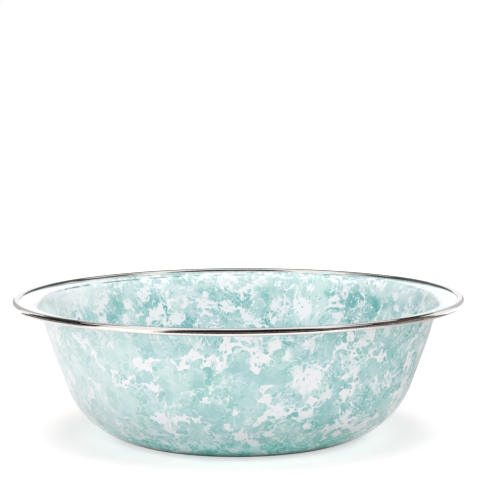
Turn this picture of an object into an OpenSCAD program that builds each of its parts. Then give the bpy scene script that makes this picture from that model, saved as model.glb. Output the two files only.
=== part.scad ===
// Enamelled steel serving bowl with a rolled stainless rim.
// The bowl is one steel pressing, with glass fired on to both of its faces. A stainless strip is
// rolled round its edge as a hollow bead. Every piece is turned about the Z axis.
// The origin is the centre of the base, on the surface that the bowl stands on. All sizes are in
// millimetres, and the section of the wall is drawn from the rim down to the base.

/* [Bowl] */
// Overall diameter, across the outside of the rim bead
bowl_d = 298; // [240:1:360]
// Overall height, from the table to the top of the rim bead
bowl_h = 92; // [76:1:112]
// Lean of the straight wall, in degrees from upright
wall_lean = 20; // [12:0.5:24]
// Outside radius of the rounded side, between the base and the straight wall
side_r = 56; // [46:1:68]
// Angle at which the rounded side leaves the base corner, in degrees from level
side_rise = 17; // [10:1:24]
// Outside radius of the soft corner round the base
corner_r = 4; // [3:0.5:8]

/* [Base] */
// Width of the flat ring that the bowl stands on
foot_w = 7; // [4:0.5:12]
// Height of the middle of the base above the flat ring
base_lift = 1.2; // [0.6:0.1:2.4]
// Radius of the two bends that lift the middle of the base
lift_r = 10; // [6:1:16]

/* [Lip] */
// Flat width of the lip, between its bend and the rim bead
lip_flat = 6.4; // [4:0.2:10]
// Outside radius of the bend under the lip
lip_r = 5.5; // [3:0.5:9]
// Upward tilt of the lip, in degrees from level
lip_tilt = 1.5; // [0:0.5:6]

/* [Wall] */
// Thickness of the pressed steel
steel_t = 0.8; // [0.5:0.05:1.2]
// Thickness of the glass on each face
glass_t = 0.3; // [0.25:0.05:0.4]

/* [Rim band] */
// Diameter of the rolled bead
bead_d = 4.8; // [4:0.1:6.5]
// Thickness of the stainless strip
band_t = 0.4; // [0.3:0.05:0.6]
// How far the edge of the bowl passes the middle of the bead
edge_reach = 0.7; // [0.2:0.1:1]
// Gap between the edges of the strip and the glass
band_gap = 0.03; // [0.02:0.01:0.1]
// Width of the butt seam where the two ends of the strip meet
seam_w = 0.15; // [0.1:0.05:0.4]
// Place of the seam round the rim, in degrees from the front towards the left
seam_angle = 43; // [0:1:359]

/* [Hidden] */

// Flat steps in each bend of the section
bend_steps = 12;
// Overrun of every cut past the piece that it cuts
cut_over = 1;
$fn = 180;

// Thickness of the finished wall
wall_t = steel_t + 2 * glass_t;
// Depth of each face below the outside of the bowl
steel_outer_depth = glass_t;
steel_inner_depth = glass_t + steel_t;
inner_face_depth = wall_t;

// Along the lip, from its bend to the bead, and square to the lip
lip_along = [cos(lip_tilt), sin(lip_tilt)];
lip_up = [-sin(lip_tilt), cos(lip_tilt)];
// Centre of the bead in the section
bead_c = [bowl_d / 2 - bead_d / 2, bowl_h - bead_d / 2];
// Centre of the bend under the lip: the middle of the wall runs into the centre of the bead
lip_c = bead_c - (lip_flat + bead_d / 2) * lip_along - (lip_r + wall_t / 2) * lip_up;
// Distance along the lip, from its bend to the cut edge of the bowl
lip_len = lip_flat + bead_d / 2 + edge_reach;

// Top and bottom of the straight wall, on the outside face
wall_top = on_circle(lip_c, lip_r, 180 - wall_lean);
side_c_z = corner_r + (side_r - corner_r) * cos(side_rise);
wall_bottom_z = side_c_z - side_r * sin(wall_lean);
wall_bottom_r = wall_top[0] - (wall_top[1] - wall_bottom_z) * tan(wall_lean);
// Centre of the rounded side
side_c = [wall_bottom_r - side_r * cos(wall_lean), side_c_z];
// Outer radius of the flat ring, and centre of the corner above it
foot_r = side_c[0] + (side_r - corner_r) * sin(side_rise);
corner_c = [foot_r, corner_r];

// The two bends that lift the middle of the base turn by the same angle, down and back to level
lift_turn = acos(1 - base_lift / (2 * lift_r));
lift_foot_c = [foot_r - foot_w, lift_r];
lift_panel_c = [lift_foot_c[0] - 2 * lift_r * sin(lift_turn), base_lift - lift_r];

// A point on a circle in the section
function on_circle(centre, radius, angle) = centre + radius * [cos(angle), sin(angle)];

// Points along an arc in the section, both ends included
function arc(centre, radius, from, to) =
    [for (i = [0 : bend_steps]) on_circle(centre, radius, from + (to - from) * i / bend_steps)];

// A point on the lip, at a distance from its bend and a depth below the outside face
function on_lip(along, depth) = lip_c + (lip_r + depth) * lip_up + along * lip_along;

// One face of the bowl, at a depth below its outside, from the axis to a distance along the lip
function face(depth, along) = concat(
    [[0, base_lift + depth]],
    arc(lift_panel_c, lift_r + depth, 90, 90 - lift_turn),
    arc(lift_foot_c, lift_r - depth, 270 - lift_turn, 270),
    arc(corner_c, corner_r - depth, -90, -90 + side_rise),
    arc(side_c, side_r - depth, -90 + side_rise, -wall_lean),
    arc(lip_c, lip_r + depth, 180 - wall_lean, 90 + lip_tilt),
    [on_lip(along, depth)]
);

function backwards(points) = [for (i = [len(points) - 1 : -1 : 0]) points[i]];

// The wall between two depths, with a square edge on the lip
module layer(outer_depth, inner_depth, along) {
    rotate_extrude()
        polygon(concat(face(outer_depth, along), backwards(face(inner_depth, along))));
}

// The pressed steel, whose edge stops short of the glass that covers it
module steel_shell() {
    color("dimgray")
        layer(steel_outer_depth, steel_inner_depth, lip_len - glass_t);
}

// The glass inside the bowl and on top of the lip
module inner_enamel() {
    color("paleturquoise")
        layer(steel_inner_depth, inner_face_depth, lip_len - glass_t);
}

// The glass outside, under the base and round the cut edge of the steel
module outer_enamel() {
    cut_edge = [on_lip(lip_len, inner_face_depth), on_lip(lip_len - glass_t, inner_face_depth)];
    color("mediumaquamarine")
        rotate_extrude()
            polygon(concat(
                face(0, lip_len),
                cut_edge,
                backwards(face(steel_outer_depth, lip_len - glass_t))
            ));
}

// The slot in the inner side of the bead, where the strip's edges close on the glass
module lip_slot() {
    half = wall_t / 2 + band_gap;
    back = (bead_d / 2 + cut_over) * lip_along;
    polygon([
        bead_c - half * lip_up,
        bead_c + half * lip_up,
        bead_c + half * lip_up - back,
        bead_c - half * lip_up - back
    ]);
}

// A thin upright cut across the bead, where the strip's ends meet
module seam_cut() {
    size = bead_d + 2 * cut_over;
    rotate([0, 0, -90 - seam_angle])
        translate([bead_c[0] - size / 2, -seam_w / 2, bead_c[1] - size / 2])
            cube([size, seam_w, size]);
}

// The stainless strip, rolled into a hollow bead round the edge of the bowl
module rim_band() {
    color("silver")
        difference() {
            rotate_extrude()
                difference() {
                    translate(bead_c)
                        circle(d = bead_d, $fn = 48);
                    translate(bead_c)
                        circle(d = bead_d - 2 * band_t, $fn = 48);
                    lip_slot();
                }
            seam_cut();
        }
}

steel_shell();
inner_enamel();
outer_enamel();
rim_band();
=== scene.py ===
import math

import bpy
import numpy as np
from mathutils import Matrix, Vector


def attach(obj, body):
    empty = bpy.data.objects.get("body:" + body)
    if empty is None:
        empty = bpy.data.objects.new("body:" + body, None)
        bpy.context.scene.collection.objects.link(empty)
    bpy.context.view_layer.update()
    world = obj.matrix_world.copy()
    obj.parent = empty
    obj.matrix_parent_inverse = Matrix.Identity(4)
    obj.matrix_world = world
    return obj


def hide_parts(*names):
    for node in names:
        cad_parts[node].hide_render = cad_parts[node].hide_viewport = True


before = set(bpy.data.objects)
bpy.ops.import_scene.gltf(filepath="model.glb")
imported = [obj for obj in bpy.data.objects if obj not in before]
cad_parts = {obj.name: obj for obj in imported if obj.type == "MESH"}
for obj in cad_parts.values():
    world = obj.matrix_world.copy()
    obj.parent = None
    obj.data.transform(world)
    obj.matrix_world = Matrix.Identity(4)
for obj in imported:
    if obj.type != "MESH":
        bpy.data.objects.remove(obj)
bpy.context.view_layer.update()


# Pressed steel shell
# One round blank of mild steel, 0.8 mm thick, deep-drawn to a flat base, rounded sides, a leaning
# wall and a turned-out lip. It is hidden: glass covers both faces and the rim band its edge.
bowl_width = 0.298
bowl_height = 0.092
wall_lean = 20
side_radius = 0.056
side_rise = 17
corner_radius = 0.004
foot_width = 0.007
base_lift = 0.0012
lift_radius = 0.010
lip_flat = 0.0064
lip_radius = 0.0055
lip_tilt = 1.5
steel_thickness = 0.0008
glass_thickness = 0.0003
bead_width = 0.0048
edge_reach = 0.0007


def evenly(start, end, steps):
    """Values from start to end, with both ends, in even steps."""
    return [start + (end - start) * i / steps for i in range(steps + 1)]


def on_circle(centre, radius, angle):
    """A point on a circle of the section, at an angle in degrees from outwards, turning up."""
    turn = math.radians(angle)
    return (centre[0] + radius * math.cos(turn), centre[1] + radius * math.sin(turn))


def bend(centre, radius, start, end, steps):
    """A rounded part of the section, from one angle to another."""
    return [on_circle(centre, radius, angle) for angle in evenly(start, end, steps)]


wall_thickness = steel_thickness + 2 * glass_thickness
steel_inside = glass_thickness + steel_thickness
lip_along = np.array(on_circle((0, 0), 1, lip_tilt))
lip_up = np.array(on_circle((0, 0), 1, 90 + lip_tilt))
bead_centre = np.array([bowl_width / 2 - bead_width / 2, bowl_height - bead_width / 2])
lip_centre = (bead_centre - (lip_flat + bead_width / 2) * lip_along
              - (lip_radius + wall_thickness / 2) * lip_up)
lip_length = lip_flat + bead_width / 2 + edge_reach
steel_edge = lip_length - glass_thickness
wall_top = on_circle(lip_centre, lip_radius, 180 - wall_lean)
side_centre_height = corner_radius + (side_radius - corner_radius) * math.cos(math.radians(side_rise))
wall_bottom_height = side_centre_height - side_radius * math.sin(math.radians(wall_lean))
wall_bottom = wall_top[0] - (wall_top[1] - wall_bottom_height) * math.tan(math.radians(wall_lean))
side_centre = (wall_bottom - side_radius * math.cos(math.radians(wall_lean)), side_centre_height)
foot_radius = side_centre[0] + (side_radius - corner_radius) * math.sin(math.radians(side_rise))
lift_turn = math.degrees(math.acos(1 - base_lift / (2 * lift_radius)))
lift_foot_centre = (foot_radius - foot_width, lift_radius)
lift_panel_centre = (lift_foot_centre[0] - 2 * lift_radius * math.sin(math.radians(lift_turn)),
                     base_lift - lift_radius)
tight_steps = 6
side_steps = 24
lip_steps = 14


def on_lip(along, depth):
    return tuple(lip_centre + (lip_radius + depth) * lip_up + along * lip_along)


def face(depth, along):
    """One face of the wall in the section, from the axis to a distance along the lip, at a depth below
    the outside."""
    points = [(0, base_lift + depth)]
    points += bend(lift_panel_centre, lift_radius + depth, 90, 90 - lift_turn, tight_steps)
    points += bend(lift_foot_centre, lift_radius - depth, 270 - lift_turn, 270, tight_steps)
    points += bend((foot_radius, corner_radius), corner_radius - depth, -90, side_rise - 90, tight_steps)
    points += bend(side_centre, side_radius - depth, side_rise - 90, -wall_lean, side_steps)
    points += bend(lip_centre, lip_radius + depth, 180 - wall_lean, 90 + lip_tilt, lip_steps)
    return points + [on_lip(along, depth)]


def spread(points, gap):
    """Adds points to the straight parts of a section, so that its facets are about even."""
    out = [points[0]]
    for start, end in zip(points, points[1:]):
        steps = max(1, round(math.dist(start, end) / gap))
        out += list(zip(evenly(start[0], end[0], steps), evenly(start[1], end[1], steps)))[1:]
    return out


def mark(mesh, name, values):
    """Keeps a value for each vertex of a mesh, under a name that its material can read."""
    mesh.attributes.new(name, "FLOAT", "POINT").data.foreach_set("value", np.array(values, np.float32))


def put_in_scene(name, data):
    piece = bpy.data.objects.new(name, data)
    bpy.context.scene.collection.objects.link(piece)
    return piece


class Nodes:
    """A node tree, with short calls that add a node, set it and link it."""

    def __init__(self, tree):
        self.tree = tree

    def add(self, kind, given, **settings):
        """A new node with its settings, and a value or a link for each of the inputs given."""
        node = self.tree.nodes.new(kind)
        for key, value in settings.items():
            setattr(node, key, value)
        for key, value in given.items():
            self.give(node.inputs[key], value)
        return node

    def give(self, socket, value):
        if isinstance(value, bpy.types.NodeSocket):
            self.tree.links.new(value, socket)
        else:
            socket.default_value = value

    def sum(self, operation, *values, clamp=False):
        given = dict(enumerate(values))
        return self.add("ShaderNodeMath", given, operation=operation, use_clamp=clamp).outputs[0]

    def plus(self, first, second):
        return self.sum("ADD", first, second)

    def less(self, first, second):
        return self.sum("SUBTRACT", first, second)

    def times(self, first, second):
        return self.sum("MULTIPLY", first, second)

    def scaled(self, value, factor, base, clamp=False):
        """A value times a factor, added to a base."""
        return self.sum("MULTIPLY_ADD", value, factor, base, clamp=clamp)

    def larger(self, first, second, clamp=False):
        return self.sum("MAXIMUM", first, second, clamp=clamp)

    def between(self, value, low, high, start=0.0, end=1.0):
        """Goes smoothly from start to end while a value goes from low to high."""
        given = {"Value": value, "From Min": low, "From Max": high, "To Min": start, "To Max": end}
        return self.add("ShaderNodeMapRange", given, interpolation_type="SMOOTHSTEP").outputs["Result"]

    def push(self, noise, far):
        """A shift of up to half of far each way, taken from the three parts of a noise."""
        given = {0: noise, 1: (0.5, 0.5, 0.5)}
        middle = self.add("ShaderNodeVectorMath", given, operation="SUBTRACT").outputs[0]
        return self.add("ShaderNodeVectorMath", {0: middle, "Scale": far}, operation="SCALE").outputs[0]


steps_round = 448
seam_weld = 0.000002
unevenness = 0.0006
uneven_scale = 9
uneven_seed = 3.0
level_below = 0.004
uneven_above = 0.05
sharp_angle = 50


def turning_tree():
    """A section turned about the bowl's axis, with the slight unevenness of a fired pressing."""
    group = bpy.data.node_groups.new("Section turned about the axis", "GeometryNodeTree")
    for name, kind in (
            ("Section", "NodeSocketGeometry"), ("Turning radius", "NodeSocketFloat"),
            ("Start", "NodeSocketFloat"), ("Sweep", "NodeSocketFloat"), ("Steps round", "NodeSocketInt"),
            ("Whole turn", "NodeSocketBool"), ("Closed ends", "NodeSocketBool"),
            ("Flipped", "NodeSocketBool"), ("Unevenness", "NodeSocketFloat"), ("Seed", "NodeSocketFloat"),
            ("Finish", "NodeSocketMaterial")):
        group.interface.new_socket(name, in_out="INPUT", socket_type=kind)
    group.interface.new_socket("Piece", in_out="OUTPUT", socket_type="NodeSocketGeometry")
    tree = Nodes(group)
    given = tree.add("NodeGroupInput", {}).outputs

    # The section is moved in by the turning radius, so that the sweep brings its own radii back
    wire = tree.add("GeometryNodeMeshToCurve", {"Mesh": given["Section"]}).outputs["Curve"]
    inwards = tree.add("ShaderNodeCombineXYZ", {"X": tree.times(given["Turning radius"], -1)}).outputs[0]
    profile = tree.add("GeometryNodeTransform", {"Geometry": wire, "Translation": inwards}).outputs[0]
    ring = {"Resolution": given["Steps round"], "Radius": given["Turning radius"]}
    arc = {**ring, "Start Angle": given["Start"], "Sweep Angle": given["Sweep"]}
    paths = {"Switch": given["Whole turn"],
             "False": tree.add("GeometryNodeCurveArc", arc, mode="RADIUS").outputs["Curve"],
             "True": tree.add("GeometryNodeCurvePrimitiveCircle", ring, mode="RADIUS").outputs["Curve"]}
    path = tree.add("GeometryNodeSwitch", paths, input_type="GEOMETRY").outputs[0]
    sweep = {"Curve": path, "Profile Curve": profile, "Fill Caps": given["Closed ends"]}
    turned = tree.add("GeometryNodeCurveToMesh", sweep).outputs[0]
    flipped = tree.add("GeometryNodeFlipFaces", {"Mesh": turned, "Selection": given["Flipped"]}).outputs[0]
    welded = tree.add("GeometryNodeMergeByDistance", {"Geometry": flipped, "Distance": seam_weld}).outputs[0]

    # The foot stays level, and the wall and rim wander a little from a true round
    place = tree.add("GeometryNodeInputPosition", {}).outputs[0]
    height = tree.add("ShaderNodeSeparateXYZ", {0: place}).outputs["Z"]
    waves = {"Vector": place, "W": given["Seed"], "Scale": uneven_scale, "Detail": 1}
    wander = tree.add("ShaderNodeTexNoise", waves, noise_dimensions="4D").outputs["Color"]
    amount = tree.times(given["Unevenness"], tree.between(height, level_below, uneven_above))
    shifted = {"Geometry": welded, "Offset": tree.push(wander, amount)}
    uneven = tree.add("GeometryNodeSetPosition", shifted).outputs[0]
    smooth = tree.add("GeometryNodeSetShadeSmooth", {"Geometry": uneven}).outputs[0]
    real = tree.add("GeometryNodeRealizeInstances", {"Geometry": smooth}).outputs[0]
    finished = {"Geometry": real, "Material": given["Finish"]}
    tree.add("NodeGroupOutput", {"Piece": tree.add("GeometryNodeSetMaterial", finished).outputs[0]})
    return group


turning = turning_tree()


def turned_piece(name, seen, hidden, finish, flipped=True, closed=False, start=0, sweep=360):
    """Turns a section about the axis, and leaves the result as a plain mesh. The section's points are
    given as those that are seen and those that are hidden, one lot following the other."""
    points = seen + hidden
    edges = [(i, i + 1) for i in range(len(points) - 1)]
    if closed:
        edges.append((len(points) - 1, 0))
    wire = bpy.data.meshes.new(name)
    wire.from_pydata([(radius, -height, 0) for radius, height in points], edges, [])
    mark(wire, "run", np.cumsum([0] + [math.dist(a, b) for a, b in zip(points, points[1:])]))
    mark(wire, "shown", [1] * len(seen) + [0] * len(hidden))
    piece = put_in_scene(name, wire)
    modifier = piece.modifiers.new("Turned", "NODES")
    modifier.node_group = turning
    inputs = {s.name: s.identifier for s in turning.interface.items_tree if s.in_out == "INPUT"}
    for key, value in (
            ("Turning radius", bowl_width / 2), ("Start", math.radians(start)),
            ("Sweep", math.radians(sweep)), ("Steps round", steps_round), ("Whole turn", sweep == 360),
            ("Closed ends", closed), ("Flipped", flipped), ("Unevenness", unevenness),
            ("Seed", uneven_seed), ("Finish", finish)):
        modifier[inputs[key]] = value
    evaluated = piece.evaluated_get(bpy.context.evaluated_depsgraph_get())
    mesh = bpy.data.meshes.new_from_object(evaluated)
    piece.modifiers.remove(modifier)
    piece.data = mesh
    mesh.name = name
    mesh.set_sharp_from_angle(angle=math.radians(sharp_angle))
    return piece


def colour(red, green, blue):
    """A colour read off as 0 to 255, turned to the linear values that a shader takes."""
    parts = [v / 255 for v in (red, green, blue)]
    return tuple(p / 12.92 if p <= 0.04045 else ((p + 0.055) / 1.055) ** 2.4 for p in parts) + (1,)


class Finish(Nodes):
    """A material, with short calls for the textures that it is built from. Sizes are in metres."""

    def __init__(self, name):
        self.material = bpy.data.materials.new(name)
        self.material.use_nodes = True
        super().__init__(self.material.node_tree)
        self.shader = self.tree.nodes["Principled BSDF"]
        self.place = self.add("ShaderNodeTexCoord", {}).outputs["Object"]

    def wear(self, socket, value):
        """Gives one socket of the material's own shader a value or a texture."""
        self.give(self.shader.inputs[socket], value)

    def noise(self, size, detail=2.0, roughness=0.5, distortion=0.0):
        given = {"Vector": self.place, "Scale": 1 / size, "Detail": detail,
                 "Roughness": roughness, "Distortion": distortion}
        return self.add("ShaderNodeTexNoise", given).outputs

    def patchy(self, size, low, high, start=0.0, end=1.0, detail=2.0, roughness=0.6, distortion=0.0):
        """Patches of about a size, that go from start to end where their noise goes from low to high."""
        return self.between(self.noise(size, detail, roughness, distortion)["Fac"], low, high, start, end)

    def blend(self, amount, first, second, how="MIX"):
        given = {0: amount, 6: first, 7: second}
        return self.add("ShaderNodeMix", given, data_type="RGBA", blend_type=how).outputs[2]


dark_steel = colour(92, 93, 96)
light_steel = colour(126, 126, 128)
pickled = Finish("Pressed steel, pickled grey")
pickled.wear("Base Color", pickled.blend(pickled.noise(0.02, 4)["Fac"], dark_steel, light_steel))
pickled.wear("Roughness", pickled.patchy(0.004, 0.3, 0.7, 0.4, 0.6, detail=3, roughness=0.5))
pickled.wear("Metallic", 0.9)

fine_gap = 0.0018
coarse_gap = 0.006
steel_outer_face = spread(face(glass_thickness, steel_edge), coarse_gap)
steel_inner_face = spread(face(steel_inside, steel_edge), coarse_gap)[::-1]
steel_section = steel_outer_face + steel_inner_face
steel_shell = turned_piece("pressed_steel_bowl", [], steel_section, pickled.material)
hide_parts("steel_shell")
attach(steel_shell, "root")


# Enamel inside
# Blue-green glass frit, dripped and splashed over a white ground and fired until it melts. The drops
# run into round pools with thin pale rims, and the white ground stays bare in ragged splashes.
thick_glass = colour(99, 170, 168)
full_glass = colour(140, 189, 190)
# The low band's tints: richer than the walls', and painted lighter against the shade under the bowl's side
low_band_glass = (colour(82, 178, 170), colour(104, 200, 193), colour(144, 226, 221), colour(228, 248, 249))
washed_glass = colour(236, 238, 239)
# Painted glare: the near-white that reflections wash the glass towards
green_cast = colour(244, 255, 248)
rose_cast = colour(255, 252, 255)
# The dark line on the lip's bend, also used for the painted contact shadow round the foot
dark_line = colour(34, 72, 66)
tint_stops = (0.22, 0.6)
wide_waves = (0.034, 0.022)
fine_waves = (0.009, 0.006)
cloud_depth = 0.11

# For each layer of drops its cell size, the least and the further reach of a drop in its cell, what
# a splash takes off that reach and what a patch of lace adds to it, the deepest and the palest tone,
# and the strength and width of the rims
drop_layers = (
    (0.0180, 0.66, 0.26, 0.90, -0.40, 0.22, 0.50, 0.80, 0.0006),
    (0.0085, 0.15, 0.45, 0.50, -0.05, 0.16, 0.48, 0.90, 0.0006),
    (0.0050, -0.04, 0.46, 0.25, 0.34, 0.12, 0.44, 0.90, 0.0005),
    (0.0030, 0.00, 0.34, 0.06, 0.14, 0.06, 0.40, 0.75, 0.0004))
round_drop_size = 0.004
drop_edge = 0.0003
rim_span = 0.22
pool_edge = 0.0004
pool_rim_width = 0.0007
pool_rim_strength = 0.85
pool_wander = 0.0025
pool_streak = 0.17

# For each layer of strings its size and detail, the size of the patches that it comes in, the ridge
# height that it needs inside and outside them, its strength, and how much less it needs low down
string_layers = (
    (0.0100, 2, 0.014, 1.24, 1.66, 0.88, 0.10),
    (0.0045, 1, 0.014, 1.04, 1.58, 0.72, 0.08),
    (0.0027, 1, 0.012, 1.10, 1.60, 0.62, 0.0))
string_edge = 0.12
fringe_strings = 0.35
pool_strings = 0.16


class Enamel(Finish):
    """Swirled glass over a white ground. The layers are summed up in how pale the glass is, from 0 in
    the deepest pool to 1 on the bare white ground."""

    def __init__(self, name, paler, sway, bare):
        super().__init__(name)
        self.deep = self.attribute("deep")
        self.patch = self.noise(0.017, roughness=0.6)["Fac"]

        # The glass has run in wide waves, and in fine ones on top of them
        self.wide = self.moved(self.place, *wide_waves)
        self.warped = self.moved(self.wide, *fine_waves)

        # Splashes of bare white, uneven inside and torn along the edge, and the fringe round them
        splash = self.times(self.attribute("splash"), self.patchy(0.0045, 0.25, 0.6, 0.25, 1.15, detail=1))
        torn = self.patchy(0.0020, 0.3, 0.7, -0.4, 0.4)
        self.splash = self.scaled(torn, self.between(splash, 0.05, 0.45), splash, clamp=True)
        self.fringe = self.times(self.times(self.splash, self.less(1.0, self.splash)), 4.0)

        # Patches of lace between the drops, clouds of paler and richer glass, and painted light and shade on
        # the sides
        self.lace = self.patchy(0.021, 0.44, 0.58, 0.0, bare)
        cloud = self.patchy(0.012, 0.28, 0.72, paler - cloud_depth, paler + cloud_depth, detail=3)
        broad = self.patchy(0.034, 0.35, 0.65, -sway, sway)
        self.cloud = self.plus(cloud, self.scaled(self.attribute("rich"), -0.1, broad))

    def attribute(self, name):
        return self.add("ShaderNodeAttribute", {}, attribute_name=name).outputs["Fac"]

    def mix(self, amount, first, second):
        return self.add("ShaderNodeMix", {0: amount, 2: first, 3: second}, data_type="FLOAT").outputs[0]

    def moved(self, at, size, far):
        """A place moved by up to half of far each way, in waves of about a size."""
        given = {0: at, 1: self.push(self.noise(size, 1)["Color"], far)}
        return self.add("ShaderNodeVectorMath", given, operation="ADD").outputs[0]

    def rimmed(self, pale, depth, width, palest, strength):
        """Draws a pale line along the edge of the drops or pools, where their depth is nothing."""
        line = self.between(self.sum("ABSOLUTE", depth), 0.0, width, palest, 0.0)
        return self.larger(pale, self.times(line, strength))

    def with_drops(self, calm):
        """Four layers of drops over the bare ground, each over the last, with rims where it isn't calm."""
        pale = 1.0
        for size, least, more, shrink, grow, deepest, palest, rim, rim_width in drop_layers:
            at = self.warped if size > round_drop_size else self.wide
            cell = self.add("ShaderNodeTexVoronoi", {"Vector": at, "Scale": 1 / size}).outputs
            chance = self.add("ShaderNodeSeparateColor", {0: cell["Color"]}).outputs
            reach = self.scaled(self.lace, grow, self.scaled(chance[0], more, least))
            reach = self.scaled(self.splash, -shrink, reach)
            depth = self.times(self.less(reach, cell["Distance"]), size)
            tone = self.plus(self.scaled(chance[1], palest - deepest, deepest), self.cloud)
            pale = self.mix(self.between(depth, -drop_edge, drop_edge), pale, tone)

            # Rims come in patches, by luck from drop to drop, and more of them low down
            luck = self.scaled(self.deep, 0.08, self.scaled(chance[2], 0.3, self.patch))
            strength = self.between(luck, calm, calm + rim_span, 0.0, rim)
            pale = self.rimmed(pale, depth, rim_width, 1.0, strength)
        return pale

    def with_pools(self, pale, tone):
        """The listed pools, over the drops, flat and streaked, with a ragged edge."""
        wander = self.patchy(0.007, 0.3, 0.7, -pool_wander, pool_wander, roughness=0.5)
        depth = self.plus(self.attribute("pool"), wander)
        self.pooled = self.between(depth, -pool_edge, pool_edge)
        streak = self.patchy(0.006, 0.45, 0.7, tone, tone + pool_streak, roughness=0.5, distortion=1.5)
        pale = self.mix(self.pooled, pale, self.plus(self.cloud, streak))
        strength = self.between(self.patch, 0.35, 0.55)
        return self.rimmed(pale, depth, pool_rim_width, pool_rim_strength, strength)

    def with_strings(self, pale, whiter):
        """Strings of white that run between the drops, wider and then finer ones, in patches."""
        for size, detail, patches, least, most, strength, lower in string_layers:
            given = {"Vector": self.warped, "Scale": 1 / size, "Detail": detail, "Roughness": 0.5,
                     "Lacunarity": 2.1, "Offset": 1.0, "Gain": 2.0}
            ridge = self.add("ShaderNodeTexNoise", given, noise_type="RIDGED_MULTIFRACTAL", normalize=False)
            need = self.scaled(self.fringe, -fringe_strings, self.patchy(patches, 0.35, 0.65, most, least))
            need = self.scaled(self.pooled, pool_strings, self.scaled(self.deep, -lower, need))
            over = self.less(ridge.outputs["Fac"], need)
            string = self.between(over, -string_edge, string_edge, 0.0, strength * whiter)
            pale = self.larger(pale, string, clamp=True)
        return pale

    def tints(self, pale, deepest, second, third, palest):
        """The colour of the glass by how pale it is."""
        steps = self.add("ShaderNodeValToRGB", {0: pale})
        stops = steps.color_ramp.elements
        stops[0].color = deepest
        stops[1].color = palest
        stops.new(tint_stops[0]).color = second
        stops.new(tint_stops[1]).color = third
        return steps.outputs["Color"]


def swirled_enamel(name, coat, paler, sway, whiter, bare, calm, pool_tone, middle, white):
    """The enamel of one face. coat is its gloss, paler and sway lift and vary its tone, whiter is the
    strength of its strings, bare the share of lace, calm holds back the rims of its drops, pool_tone is
    the tone of its pools, and middle and white are the colours of its pale glass and bare ground."""
    glass = Enamel(name, paler, sway, bare)
    pale = glass.with_strings(glass.with_pools(glass.with_drops(calm), pool_tone), whiter)

    # Thin on the walls, paler in places under painted glare, and gathered thicker just above the foot
    walls = glass.tints(pale, thick_glass, full_glass, middle, white)
    # Painted glare: the glass is painted towards white where reflections of the white studio wash it out
    washed = glass.blend(glass.attribute("wash"), walls, washed_glass)
    # Above the foot the glass is richer, and its colour is also painted lighter against the shade under the
    # side
    low_band = glass.tints(pale, *low_band_glass)
    flowed = glass.blend(glass.between(glass.deep, 0.2, 1.2), washed, low_band)
    cast = glass.blend(glass.patchy(0.022, 0.35, 0.65, roughness=0.5), green_cast, rose_cast)
    tinted = glass.blend(glass.between(pale, 0.3, 0.9, 0.6, 0.0), flowed, cast, how="MULTIPLY")

    # Dark dull lines: a broken one along the lip's bend, and round the foot a painted contact shadow
    worn = glass.larger(glass.patchy(0.006, 0.38, 0.56, detail=3), glass.between(glass.deep, 0.8, 1.2))
    thin = glass.times(glass.attribute("thin"), worn)
    dull = glass.between(thin, 0.0, 0.6)
    glass.wear("Base Color", glass.blend(thin, tinted, dark_line))
    glass.wear("Roughness", glass.mix(dull, 0.12, 0.6))
    glass.wear("Coat Weight", glass.mix(dull, coat, 0.0))
    glass.wear("Coat Roughness", 0.04)
    ripple = {"Height": glass.noise(0.006)["Fac"], "Distance": 0.00003, "Strength": 1.0}
    glass.wear("Normal", glass.add("ShaderNodeBump", ripple).outputs["Normal"])
    return glass.material


def vertex_values(mesh, name):
    values = np.zeros(len(mesh.vertices), np.float32)
    mesh.attributes[name].data.foreach_get("value", values)
    return values


def vertex_places(mesh):
    places = np.zeros(len(mesh.vertices) * 3, np.float32)
    mesh.vertices.foreach_get("co", places)
    return places.reshape(-1, 3)


def share(values):
    """Values held between nothing and the whole."""
    return np.clip(values, 0, 1)


class EnamelFace:
    """The vertices of an enamelled piece, by their angle in degrees from the front towards the right,
    and their run along the face from the axis."""

    def __init__(self, piece):
        self.mesh = piece.data
        places = vertex_places(self.mesh)
        self.run = vertex_values(self.mesh, "run")
        self.around = np.degrees(np.arctan2(places[:, 0], -places[:, 1]))
        self.radius = np.hypot(places[:, 0], places[:, 1])
        self.nothing = np.zeros(len(places))

    def turn(self, angle):
        """The degrees from an angle to each vertex, the short way round."""
        return (self.around - angle + 180) % 360 - 180

    def away(self, angle, along):
        """The distance over the face from a place on it to each vertex."""
        return np.hypot(np.radians(self.turn(angle)) * self.radius, self.run - along)


random_splashes = 240
random_reach = 0.2
random_size_shape = 3.0
random_size_scale = 1.8
hand_placed_above = 0.105
hand_placed_margin = 4
splash_core = 1.7
splash_fall = 1.15
full_splash = 0.008
pool_spread = 0.00085
no_pool = -0.01
gathering = ((0.120, 0.012), (0.105, 0.004), (0.099, 0.012))
foot_run = foot_radius + 0.0005
rich_above = 0.09
rich_span = 0.02
lip_line_back = 0.0045
lip_line_width = 0.0007
foot_line_run = 0.0828
foot_line_width = 0.0015


def splashed(side, splashes, scale, seed):
    """The share of bare white: the listed splashes, and others at random where there are none.
    A splash is given by its angle, and its run and its size in millimetres."""
    spots = [(angle, along / 1000, size / 1000) for angle, along, size in splashes]
    first = min(angle for angle, _, _ in splashes) - hand_placed_margin
    last = max(angle for angle, _, _ in splashes) + hand_placed_margin
    draw = np.random.default_rng(seed)
    for _ in range(random_splashes):
        angle = draw.uniform(0, 360)
        along = random_reach * math.sqrt(draw.uniform(0, 1))
        size = draw.gamma(random_size_shape, random_size_scale) / 1000
        if along <= hand_placed_above or (angle - first) % 360 >= last - first:
            spots.append((angle, along, size))
    field = side.nothing
    for angle, along, size in spots:
        spot = share(splash_core - splash_fall * side.away(angle, along) / (scale * size))
        field = np.maximum(field, spot * min(1, size / full_splash))
    return field


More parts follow.
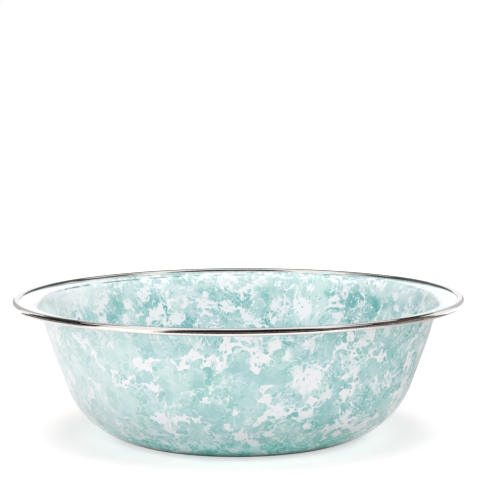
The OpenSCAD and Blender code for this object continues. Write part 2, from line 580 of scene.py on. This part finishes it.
def mark_enamel(piece, splashes, pools, washes, riches, splash_scale, seed, foot_line=0.0):
    """Marks what each part of a face is to have, for its material to read. Places on it are given by
    their angle and their run in millimetres.
    splash: bare white. pool: depth in the listed pools, each with a size in millimetres. deep:
    glass gathered above the foot, which the material also paints lighter against the shade there.
    wash: glass painted paler where reflections wash it out, by width in degrees, height in
    millimetres and strength. rich: painted light and shade, paler glass for a negative
    amount and richer for a positive one, by width in degrees and amount. thin: a
    dark line over the lip's bend, and a painted contact shadow round the foot."""
    side = EnamelFace(piece)
    mark(side.mesh, "splash", splashed(side, splashes, splash_scale, seed))

    pool = side.nothing + no_pool
    for angle, along, size in pools:
        pool = np.maximum(pool, pool_spread * size - side.away(angle, along / 1000))
    mark(side.mesh, "pool", pool)

    # The band above the foot, of richer glass that the material also paints lighter against the shade there
    low = sum(share((start - side.run) / width) for start, width in gathering)
    mark(side.mesh, "deep", 0.5 * foot_line * low * (side.run > foot_run))

    # Painted glare: patches of glass painted paler where reflections wash it out
    wash = side.nothing
    for angle, width, along, height, strength in washes:
        far = np.hypot(side.turn(angle) / width, (side.run - along / 1000) / height * 1000)
        wash = np.maximum(wash, strength * share(2 - 2 * far) ** 1.5)
    mark(side.mesh, "wash", wash)

    # Painted light and shade on the sides: paler glass for a negative amount and richer for a positive one
    rich = side.nothing
    for angle, width, amount in riches:
        near = share(1.4 - 1.4 * np.abs(side.turn(angle)) / width)
        rich = rich + amount * near * share((side.run - rich_above) / rich_span)
    mark(side.mesh, "rich", rich)

    # The line on the lip's bend is strongest at the left, weaker at the right and gone at both sides
    lip_line_run = face_length - lip_length + glass_thickness - lip_line_back
    thin = share(1.3 - np.abs(side.run - lip_line_run) / lip_line_width) * vertex_values(side.mesh, "shown")
    thin = thin * share(3 * np.abs(np.cos(np.radians(side.around))) - 0.5)
    thin = thin * np.clip(0.62 - 0.38 * np.sin(np.radians(side.around)), 0.3, 1)
    # Round the foot, a painted contact shadow: a dark ring on the corner just above where the bowl stands
    foot = share(1.6 - np.abs(side.run - foot_line_run) / foot_line_width)
    mark(side.mesh, "thin", np.maximum(thin, foot_line * foot))


shown_disc_middle = 0.5
shown_disc_radius = 0.49
hidden_disc_middle = 0.075
hidden_disc_radius = 0.07


def chart(piece, reach):
    """Lays the piece out flat round its axis: a wide disc for what shows, a small one in the corner for
    the rest."""
    mesh = piece.data
    corner_of = np.zeros(len(mesh.loops), np.int32)
    mesh.loops.foreach_get("vertex_index", corner_of)
    face_of = np.repeat(np.arange(len(mesh.polygons)), [p.loop_total for p in mesh.polygons])
    face_shown = np.ones(len(mesh.polygons))
    np.minimum.at(face_shown, face_of, vertex_values(mesh, "shown")[corner_of])
    seen = face_shown[face_of] > 0.5
    places = vertex_places(mesh)
    around = np.arctan2(places[:, 1], places[:, 0])[corner_of]
    disc = np.where(seen, shown_disc_radius, hidden_disc_radius)
    far = vertex_values(mesh, "run")[corner_of] / reach * disc
    middle = np.where(seen, shown_disc_middle, hidden_disc_middle)
    flat = np.stack([middle + far * np.cos(around), middle + far * np.sin(around)], 1)
    mesh.uv_layers.new(name="OFBake").data.foreach_set("uv", flat.astype(np.float32).ravel())


inside_finish = swirled_enamel(
    "Swirled blue-green enamel, inside", coat=0.4, paler=0.02, sway=0.20, whiter=1.15, bare=1.0, calm=0.40,
    pool_tone=0.29, middle=colour(190, 213, 213), white=colour(231, 231, 234))
inside_face = spread(face(wall_thickness, steel_edge), fine_gap)
inside_back = spread(face(steel_inside, steel_edge), coarse_gap)[::-1]
face_length = sum(math.dist(a, b) for a, b in zip(inside_face, inside_face[1:]))
inner_enamel = turned_piece("enamel_inside", inside_face, inside_back, inside_finish, flipped=False)
inside_splashes = [
    (213, 173, 10), (219, 169, 7), (228, 173, 5), (230, 160, 5), (221, 157, 7), (209, 159, 9), (201, 154, 10),
    (192, 165, 9), (185, 179, 7), (177, 153, 8), (175, 172, 5), (184, 162, 8), (158, 161, 13), (147, 168, 9),
    (156, 177, 6), (167, 179, 5), (168, 163, 7), (145, 159, 6), (136, 168, 5), (122, 177, 5), (120, 169, 5)]
inside_pools = [
    (226, 169, 4), (226, 160, 5), (220, 175, 4), (218, 174, 4), (215, 169, 4), (210, 167, 4),
    (208, 172, 5), (216, 162, 5), (192, 152, 5), (188, 170, 4), (178, 164, 4), (181, 156, 4),
    (197, 178, 4), (236, 166, 5), (171, 169, 3), (166, 173, 4), (163, 172, 3), (161, 172, 3),
    (162, 153, 5), (150, 175, 5), (153, 168, 3), (141, 170, 6), (138, 168, 5), (132, 173, 5),
    (130, 170, 6), (110, 178, 5), (122, 167, 3)]
# Painted glare on the inside: at the left, round the lip and at the right
inside_washes = [(268, 66, 184, 24, 0.75), (180, 400, 182, 9, 0.35), (95, 34, 190, 16, 0.55)]
mark_enamel(inner_enamel, inside_splashes, inside_pools, inside_washes, [], splash_scale=0.42, seed=5)
chart(inner_enamel, face_length)
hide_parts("inner_enamel")
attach(inner_enamel, "root")


# Enamel outside
# The same swirled glass over the outer face, under the lip and the base, and turned over the cut edge
# of the steel inside the rim band. It is laid on a white ground and fired like the inside.
outside_finish = swirled_enamel(
    "Swirled blue-green enamel, outside", coat=0.7, paler=0.0, sway=0.03, whiter=0.93, bare=0.6, calm=0.50,
    pool_tone=0.37, middle=colour(187, 213, 214), white=colour(223, 226, 230))
outside_face = spread(face(0, lip_length), fine_gap)
cut_edge = [on_lip(lip_length, wall_thickness), on_lip(steel_edge, wall_thickness)]
outside_back = spread(face(glass_thickness, steel_edge), coarse_gap)[::-1]
outer_enamel = turned_piece("enamel_outside", outside_face + cut_edge, outside_back, outside_finish)
outside_splashes = [
    (-45, 166, 9), (-37, 173, 6), (-29, 164, 8), (-45, 135, 6), (-23, 117, 8), (-56, 170, 6), (-11, 170, 9),
    (-5, 164, 8), (6, 172, 4), (10, 178, 6), (-10, 138, 8), (-3, 141, 5), (-1, 132, 7), (3, 126, 6),
    (-20, 126, 6), (-4, 121, 6), (1, 115, 6), (-15, 107, 4), (8, 140, 8), (10, 132, 8), (10, 114, 7),
    (9, 176, 8), (13, 170, 8), (18, 177, 7), (19, 153, 28), (22, 138, 8), (27, 140, 8), (33, 140, 8),
    (12, 132, 10), (22, 129, 5), (22, 119, 7), (36, 124, 9), (36, 108, 9), (33, 167, 6), (45, 140, 5),
    (43, 171, 5), (48, 156, 3)]
outside_pools = [
    (2, 152, 12), (8, 156, 10), (13, 153, 5), (6, 133, 5), (27, 129, 10), (19, 116, 6),
    (24, 171, 8), (28, 160, 4), (11, 171, 3), (18, 169, 3), (39, 142, 4), (37, 169, 5),
    (45, 170, 4), (56, 126, 5), (51, 153, 4), (40, 134, 4), (-38, 132, 13), (-31, 173, 7),
    (-38, 163, 6), (-42, 148, 6), (-12, 159, 6), (-22, 172, 5), (-8, 132, 9), (-14, 120, 6),
    (-27, 133, 6), (-21, 153, 5), (-17, 138, 4)]
# Painted glare on the outside, at the left
outside_washes = [(-75, 70, 155, 60, 0.2)]
# Painted light and shade on the outside: paler on the left, richer on the right
outside_riches = [(-62, 60, -1.7), (58, 52, 1.3)]
mark_enamel(outer_enamel, outside_splashes, outside_pools, outside_washes, outside_riches,
            splash_scale=0.32, seed=8, foot_line=1.0)
chart(outer_enamel, face_length)
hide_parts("outer_enamel")
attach(outer_enamel, "root")


# Rim band
# A strip of stainless steel, 0.4 mm thick, rolled round the edge as a hollow bead, its two ends
# meeting at a butt seam.
strip_thickness = 0.0004
band_gap = 0.00003
seam_width = 0.00015
seam_angle = 43
bead_steps = 56
bead_inside_steps = 40


def half_slot(radius):
    """Half the angle that the wall's edge takes out of the bead, at a radius of the strip."""
    return math.degrees(math.asin((wall_thickness / 2 + band_gap) / radius))


def rolled(radius, side, steps):
    """One face of the strip, rolled round the bead from the slot back to the slot. side is 1 or -1."""
    reach = 180 - half_slot(radius)
    return bend(bead_centre, radius, lip_tilt - side * reach, lip_tilt + side * reach, steps)


dark_polish = colour(234, 231, 227)
light_polish = colour(242, 240, 237)
polished = Finish("Polished stainless steel")
polished.wear("Metallic", 1)
polished.wear("Base Color", polished.blend(polished.noise(0.012, 3)["Fac"], dark_polish, light_polish))
polished.wear("Roughness", polished.patchy(0.003, 0.3, 0.7, 0.05, 0.12, detail=4))

strip_outside = rolled(bead_width / 2, 1, bead_steps)
strip_inside = rolled(bead_width / 2 - strip_thickness, -1, bead_inside_steps)
seam_turn = math.degrees(seam_width / bead_centre[0])
rim_band = turned_piece("rolled_rim_band", strip_outside, strip_inside, polished.material,
                        closed=True, start=-90 - seam_angle + seam_turn / 2, sweep=360 - seam_turn)
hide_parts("rim_band")
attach(rim_band, "root")


# Reflection cards
# Black, grey and white sheets of the studio, which only the polished bead and the glass reflect. They
# stand on a wide dome round the bowl, lie on the table, or stand up close behind the bowl.
dome_radius = 2.0
dome_height = 0.09
dome_steps_up = 8
dome_steps_left = 12
table_card_lift = 0.001
table_card_softness = 1.6
table_card_steps_out = 8
table_card_steps_left = 16
fence_softness = 2
fence_steps = 32
front_black = (0.015, 0.012, 0.015, 1)
left_black = (0.02, 0.018, 0.02, 1)
right_black = (0.02, 0.015, 0.015, 1)
warm_dark = (0.10, 0.075, 0.065, 1)
close_white = (0.8, 0.8, 0.8, 1)


def to_the_left(turn, reach, height):
    """A place round the bowl, turned from the camera's side towards the left by an angle in degrees."""
    turn = math.radians(turn)
    return (-reach * math.sin(turn), -reach * math.cos(turn), height)


def soft_ends(steps, steepness):
    """How solid a card is from one end to the other, with nothing at both ends."""
    return [min(1, steepness * math.sin(math.pi * i / steps)) for i in range(steps + 1)]


def card(name, rows, shade, solid=None):
    """A glowing card through rows of points. solid, if given, is how solid it is at each point."""
    width = len(rows[0])
    quads = [(r * width + c, r * width + c + 1, (r + 1) * width + c + 1, (r + 1) * width + c)
             for r in range(len(rows) - 1) for c in range(width - 1)]
    mesh = bpy.data.meshes.new(name)
    mesh.from_pydata([point for row in rows for point in row], [], quads)
    material = bpy.data.materials.new(name)
    material.use_nodes = True
    material.node_tree.nodes.clear()
    sheet = Nodes(material.node_tree)
    look = sheet.add("ShaderNodeEmission", {"Color": shade}).outputs[0]
    if solid is not None:
        mark(mesh, "fade", solid)
        fade = sheet.add("ShaderNodeAttribute", {}, attribute_name="fade").outputs["Fac"]
        clear = sheet.add("ShaderNodeBsdfTransparent", {}).outputs[0]
        look = sheet.add("ShaderNodeMixShader", {0: fade, 1: clear, 2: look}).outputs[0]
    sheet.add("ShaderNodeOutputMaterial", {"Surface": look})
    mesh.materials.append(material)
    piece = put_in_scene(name, mesh)
    piece.visible_camera = False
    piece.visible_diffuse = False
    piece.visible_shadow = False
    piece.visible_transmission = False


def fence_card(name, left_from, left_to, low, high, reach, shade):
    """A card that stands up close to the bowl and is bent round it, with soft ends."""
    turns = evenly(left_from, left_to, fence_steps)
    rows = [[to_the_left(turn, reach, height) for turn in turns] for height in (low, high)]
    card(name, rows, shade, soft_ends(fence_steps, fence_softness) * len(rows))


def dome_card(name, left_from, left_to, low, high, shade):
    """A card on the dome, between two angles towards the left and two angles of height."""
    turns = evenly(left_from, left_to, dome_steps_left)
    rows = []
    for rise in evenly(low, high, dome_steps_up):
        reach, height = on_circle((0, dome_height), dome_radius, rise)
        rows.append([to_the_left(turn, reach, height) for turn in turns])
    card(name, rows, shade)


def table_card(name, left_from, left_to, near, far, shade, soft=False):
    """A card lying on the table, on a ring round the bowl, with soft edges if it is asked for."""
    turns = evenly(left_from, left_to, table_card_steps_left)
    rows = [[to_the_left(turn, reach, table_card_lift) for turn in turns]
            for reach in evenly(near, far, table_card_steps_out)]
    solid_out = soft_ends(table_card_steps_out, table_card_softness)
    solid_left = soft_ends(table_card_steps_left, table_card_softness)
    card(name, rows, shade, [a * b for a in solid_out for b in solid_left] if soft else None)


fence_card("flag_behind", 216, 144, 0.085, 0.22, 0.185, (0.10, 0.115, 0.11, 1))
dome_card("flag_high_right", 265, 182, 30, 45, (0.03, 0.03, 0.03, 1))
dome_card("flag_high_left", 182, 100, 30, 45, (0.1, 0.1, 0.1, 1))
table_card("white_table_left", 175, 30, 0.10, 0.40, (1.0, 1.0, 1.0, 1), soft=True)
table_card("grey_table_right", -35, -175, 0.10, 0.40, (0.6, 0.6, 0.6, 1), soft=True)
dome_card("flag_left_back", 165, 138, 0, 36, (0.52, 0.52, 0.52, 1))
dome_card("flag_right_back", -138, -165, 0, 36, (0.60, 0.60, 0.60, 1))
table_card("white_table_close_left", 175, 40, 0.075, 0.17, close_white, soft=True)
table_card("white_table_close_right", -40, -175, 0.075, 0.17, close_white, soft=True)
dome_card("flag_left", 125, 94, 0, 60, left_black)
dome_card("flag_left_low", 94, 70, 0, 34, left_black)
dome_card("flag_camera", 35, -46, 0, 76, front_black)
dome_card("flag_right_low", -46, -74, 0, 30, right_black)
dome_card("flag_right", -74, -110, 0, 60, warm_dark)
table_card("dark_table_front", 35, -74, 0.26, 2.0, front_black)
table_card("dark_table_left", 125, 68, 0.30, 2.0, left_black)
table_card("dark_table_right", -74, -110, 0.26, 2.0, warm_dark)


# White table
# A sheet of matt white paper that the bowl stands on and that keeps its shadow. What the lamps leave
# short of white is made up by a glow, which only the camera, metal and glass see.
table_half = 4
table_drop = 0.0001
mirror_from = 0.10
mirror_full = 0.34
shade_from = 0.085
shade_to = 0.115
glow_in_shade = 0.546
glow_beyond = 0.39
dim_from = 0.8
dim_to = 2.0
dim_gain = 1.45
table_corners = [(-table_half, -table_half, -table_drop), (table_half, -table_half, -table_drop),
                 (table_half, table_half, -table_drop), (-table_half, table_half, -table_drop)]
floor_mesh = bpy.data.meshes.new("table")
floor_mesh.from_pydata(table_corners, [], [(0, 1, 2, 3)])
floor = put_in_scene("table", floor_mesh)
paper = Finish("White table")
paper.wear("Base Color", (0.82, 0.768, 0.758, 1))
paper.wear("Roughness", 0.6)
paper.wear("Specular IOR Level", 0.0)
paper.wear("Emission Color", (1, 1, 1, 1))
away = paper.add("ShaderNodeVectorMath", {0: paper.place}, operation="LENGTH").outputs["Value"]
rays = paper.add("ShaderNodeLightPath", {}).outputs
mirrored = paper.larger(rays["Is Glossy Ray"], rays["Is Transmission Ray"])
mirrored = paper.times(mirrored, paper.between(away, mirror_from, mirror_full))
glow = paper.larger(rays["Is Camera Ray"], mirrored)

# Stronger in the dark under the bowl's side, and again far off, where the lamps reach less
glow = paper.times(glow, paper.between(away, shade_from, shade_to, glow_in_shade, glow_beyond))
glow = paper.times(glow, paper.between(away, dim_from, dim_to, 1.0, dim_gain))
paper.wear("Emission Strength", glow)
floor_mesh.materials.append(paper.material)


# White backdrop
# The white walls and ceiling of the studio, as the world. The camera, metal and glass see them at full
# white, and they light the bowl more weakly.
wall_light = 0.62
world = bpy.data.worlds.new("White studio")
bpy.context.scene.world = world
world.use_nodes = True
walls = Nodes(world.node_tree)
rays = walls.add("ShaderNodeLightPath", {}).outputs
seen = walls.larger(rays["Is Camera Ray"], rays["Is Glossy Ray"])
seen = walls.larger(seen, rays["Is Transmission Ray"])
background = world.node_tree.nodes["Background"]
walls.give(background.inputs["Color"], (1, 1, 1, 1))
walls.give(background.inputs["Strength"], walls.between(seen, 0.0, 1.0, wall_light, 1.0))


# Softboxes
# Four lamps behind white cloth: at the left, at the right, above, and a long low one in front.
# Reflections don't see them, because the cards stand for the studio there.
def softbox(name, place, target, width, height, radiance):
    """A lamp of a width and height, at a place, that faces a target. radiance is how bright its cloth is."""
    lamp = bpy.data.lights.new(name, "AREA")
    lamp.shape = "RECTANGLE"
    lamp.size = width
    lamp.size_y = height
    lamp.energy = radiance * math.pi * width * height
    piece = put_in_scene(name, lamp)
    piece.rotation_mode = "QUATERNION"
    piece.rotation_quaternion = (Vector(target) - Vector(place)).to_track_quat("-Z", "Y")
    piece.location = place
    piece.visible_camera = False
    piece.visible_glossy = False


bowl_middle = (0, 0, 0.05)
softbox("softbox_left", (-1.3, -0.95, 0.75), bowl_middle, 0.9, 1.2, 1.9)
softbox("low_fill", (-0.3, -1.9, 0.12), (0, 0, 0.02), 1.4, 0.22, 7.9)
softbox("softbox_right", (1.4, -0.55, 0.95), bowl_middle, 0.8, 0.8, 3.3)
softbox("softbox_above", (0, -0.1, 1.7), bowl_middle, 1.4, 1.4, 3.3)


# Camera
# A long lens, a little above the rim and 1.18 m in front of the bowl's axis, as it was fitted to the
# ellipses of the rim and the base. Angles are in degrees.
camera_place = (0, -1.18, 0.2513)
camera_pitch = 5.95
camera_yaw = -0.066
camera_roll = -0.36
lens_in_pixels = 1797
picture_width = 480
sensor_width = 36
camera_data = bpy.data.cameras.new("camera")
camera_data.sensor_width = sensor_width
camera_data.lens = sensor_width * lens_in_pixels / picture_width
camera_data.clip_start = 0.05
camera = put_in_scene("camera", camera_data)
bpy.context.scene.camera = camera
pitch, yaw, roll = (math.radians(angle) for angle in (camera_pitch, camera_yaw, camera_roll))
ahead = Vector((-math.sin(yaw) * math.cos(pitch), math.cos(yaw) * math.cos(pitch), -math.sin(pitch)))
level = Vector((math.cos(yaw), math.sin(yaw), 0))
upright = level.cross(ahead)
across = level * math.cos(roll) + upright * math.sin(roll)
upwards = upright * math.cos(roll) - level * math.sin(roll)
turned = Matrix((across, upwards, -ahead)).transposed().to_4x4()
camera.matrix_world = Matrix.Translation(camera_place) @ turned

bpy.context.scene.view_settings.view_transform = "Standard"
